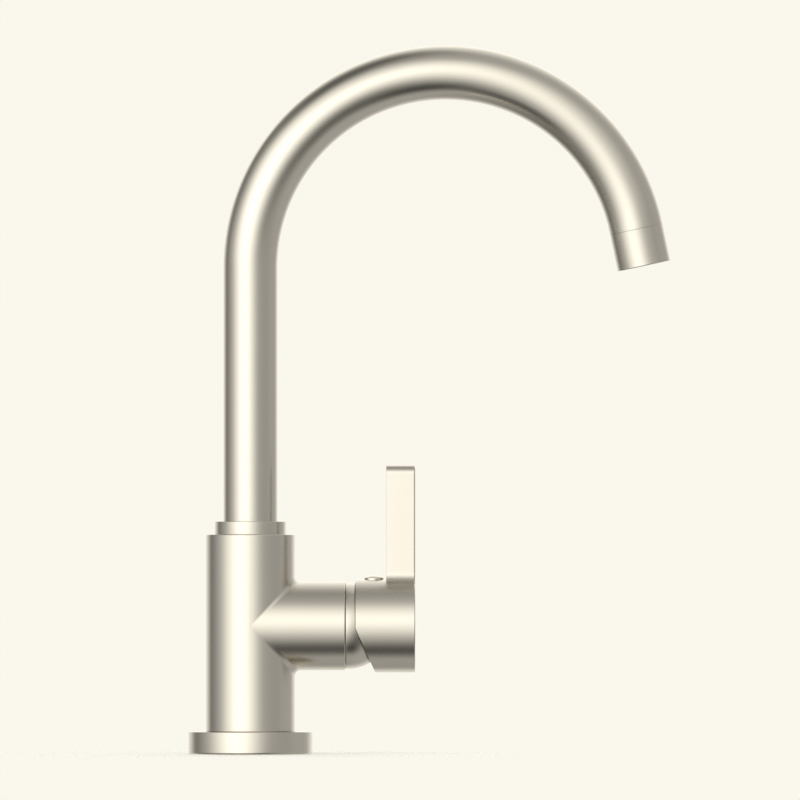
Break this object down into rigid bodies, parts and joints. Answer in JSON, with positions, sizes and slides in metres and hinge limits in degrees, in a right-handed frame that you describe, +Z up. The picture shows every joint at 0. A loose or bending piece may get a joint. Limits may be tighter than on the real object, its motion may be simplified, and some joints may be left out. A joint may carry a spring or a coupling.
{
  "type": "gooseneck bar faucet",
  "caption": "Single-hole gooseneck bar faucet with a swivelling spout, an aerator and a side lever that lifts and turns a ceramic disc cartridge.",
  "frame": {"origin": "on the upright body's axis, in the plane of the deck, at the mouth of the shank socket", "axes": "+Z up along the body's axis; +X along the side hub towards the lever, with the spout's outlet resting over +X"},
  "size_m": [0.2231, 0.0574, 0.3281],
  "materials": {
    "satin_nickel": "satin brushed nickel plating, warm grey",
    "polished_cap": "polished plating",
    "turned_brass": "turned, bare",
    "stainless": "turned stainless steel",
    "ceramic_disc": "lapped alumina",
    "black_rubber": "moulded rubber",
    "grey_plastic": "moulded acetal",
    "white_plastic": "moulded acetal and PTFE"
  },
  "bodies": {
    "faucet_body": {"body": "satin_nickel", "base_flange": "satin_nickel", "deck_gasket": "black_rubber", "cartridge_base": "white_plastic", "port_seals": "black_rubber", "fixed_disc": "ceramic_disc", "cartridge_housing": "white_plastic", "cartridge_nut": "turned_brass", "bonnet": "satin_nickel", "bonnet_seal": "black_rubber", "swivel_collar": "satin_nickel"},
    "turn_guide": {"stem_carrier": "grey_plastic", "pivot_pin": "stainless"},
    "lever": {"stem": "stainless", "handle_hub": "satin_nickel", "lever_blade": "satin_nickel", "set_screw": "stainless", "index_button": "polished_cap"},
    "mixing_disc": {"moving_disc": "ceramic_disc", "disc_carrier": "grey_plastic"},
    "spout": {"spout_tube": "satin_nickel", "spout_foot": "turned_brass", "spout_seals": "black_rubber", "slip_ring_upper": "white_plastic", "slip_ring_lower": "white_plastic", "outlet_sleeve": "satin_nickel", "aerator_washer": "black_rubber", "aerator_cup": "grey_plastic", "flow_regulator": "white_plastic", "aerator_screen": "stainless", "stream_straightener": "grey_plastic"}
  },
  "joints": [
    {"name": "spout_swivel", "type": "hinge", "parent": "faucet_body", "child": "spout", "pos_m": [0, 0, 0.088], "axis": [0, 0, 1], "continuous": true},
    {"name": "lever_turn", "type": "hinge", "parent": "faucet_body", "child": "turn_guide", "pos_m": [0.0451, 0, 0.0595], "axis": [1, 0, 0], "range_deg": [-45, 45]},
    {"name": "lever_lift", "type": "hinge", "parent": "turn_guide", "child": "lever", "pos_m": [0.0451, 0, 0.0595], "axis": [0, 1, 0], "range_deg": [0, 24]},
    {"name": "disc_slide", "type": "slide", "parent": "turn_guide", "child": "mixing_disc", "axis": [0, 0, 1], "range_m": [0, 0.0055]}
  ],
  "couplings": [
    {"joint": "disc_slide", "follows": "lever_lift", "m_per_rad": 0.013109}
  ]
}
